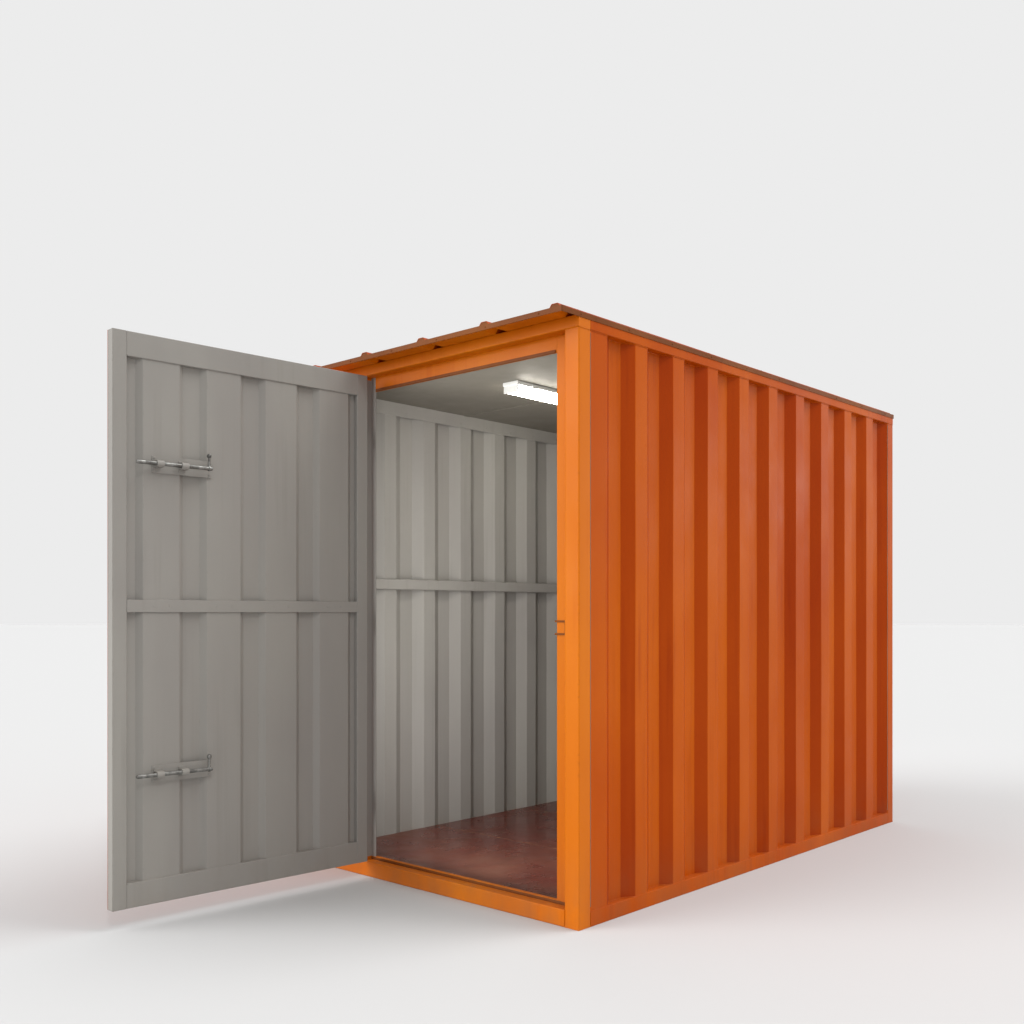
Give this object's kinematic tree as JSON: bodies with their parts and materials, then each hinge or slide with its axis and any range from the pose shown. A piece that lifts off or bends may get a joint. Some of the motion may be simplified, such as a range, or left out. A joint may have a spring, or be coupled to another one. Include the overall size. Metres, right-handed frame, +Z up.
{
  "type": "portable site cabin",
  "caption": "Small steel site cabin with fluted walls, a ribbed roof with a short canopy, a boarded floor and one outward-opening door with slide bolts.",
  "frame": {"origin": "on the ground at the centre of the floor plan, under the middle floor joist", "axes": "+Z up, the front with the door faces -Y, +X to the right seen from the front"},
  "size_m": [1.706, 4.2572, 2.464],
  "materials": {
    "orange_paint": "satin orange enamel, slightly weathered",
    "front_paint": "satin orange enamel, lighter from the light on the front",
    "grey_paint": "satin warm grey enamel",
    "ceiling_paint": "flat pale grey painted board",
    "trim_paint": "dark brown-orange, dull",
    "joist_paint": "dark primer",
    "floor_ply": "glossy red-brown film-faced plywood",
    "lamp_housing": "white enamel",
    "lamp_diffuser": "opal, lit",
    "zinc_steel": "zinc plated, dull"
  },
  "bodies": {
    "cabin": {"base_rail_right": "orange_paint", "base_rail_left": "orange_paint", "front_sill": "orange_paint", "rear_sill": "orange_paint", "rear_right_post": "orange_paint", "rear_left_post": "orange_paint", "top_rail_right": "orange_paint", "top_rail_left": "orange_paint", "rear_header": "orange_paint", "right_wall": "orange_paint", "left_wall": "orange_paint", "rear_wall": "orange_paint", "front_panel": "orange_paint", "roof_sheet": "orange_paint", "front_right_post": "front_paint", "front_left_post": "front_paint", "front_header": "front_paint", "door_jamb": "front_paint", "door_stop_right": "front_paint", "door_stop_head": "front_paint", "wall_stiffeners": "grey_paint", "door_stop_left": "grey_paint", "ceiling_panel": "ceiling_paint", "roof_edge_trim": "trim_paint", "lock_keeper": "trim_paint", "floor_joists": "joist_paint", "floor_boards": "floor_ply", "lamp_body": "lamp_housing", "lamp_lens": "lamp_diffuser", "hinge_pins": "zinc_steel"},
    "door": {"door_free_stile": "grey_paint", "door_hinge_stile": "grey_paint", "door_top_rail": "grey_paint", "door_bottom_rail": "grey_paint", "door_mid_bar": "grey_paint", "door_skin": "grey_paint", "hinge_barrels": "zinc_steel", "door_handle": "zinc_steel", "upper_bolt_base": "grey_paint", "lower_bolt_base": "grey_paint"},
    "upper_rod": {"upper_bolt_rod": "zinc_steel"},
    "lower_rod": {"lower_bolt_rod": "zinc_steel"}
  },
  "joints": [
    {"name": "door_hinge", "type": "hinge", "parent": "cabin", "child": "door", "pos_m": [-0.475, -1.513, 1.23], "axis": [0, 0, 1], "range_deg": [-80, 93.5]},
    {"name": "upper_bolt", "type": "slide", "parent": "door", "child": "upper_rod", "axis": [-0.061, -0.9981, 0], "range_m": [0, 0.075]},
    {"name": "lower_bolt", "type": "slide", "parent": "door", "child": "lower_rod", "axis": [-0.061, -0.9981, 0], "range_m": [0, 0.075]}
  ]
}
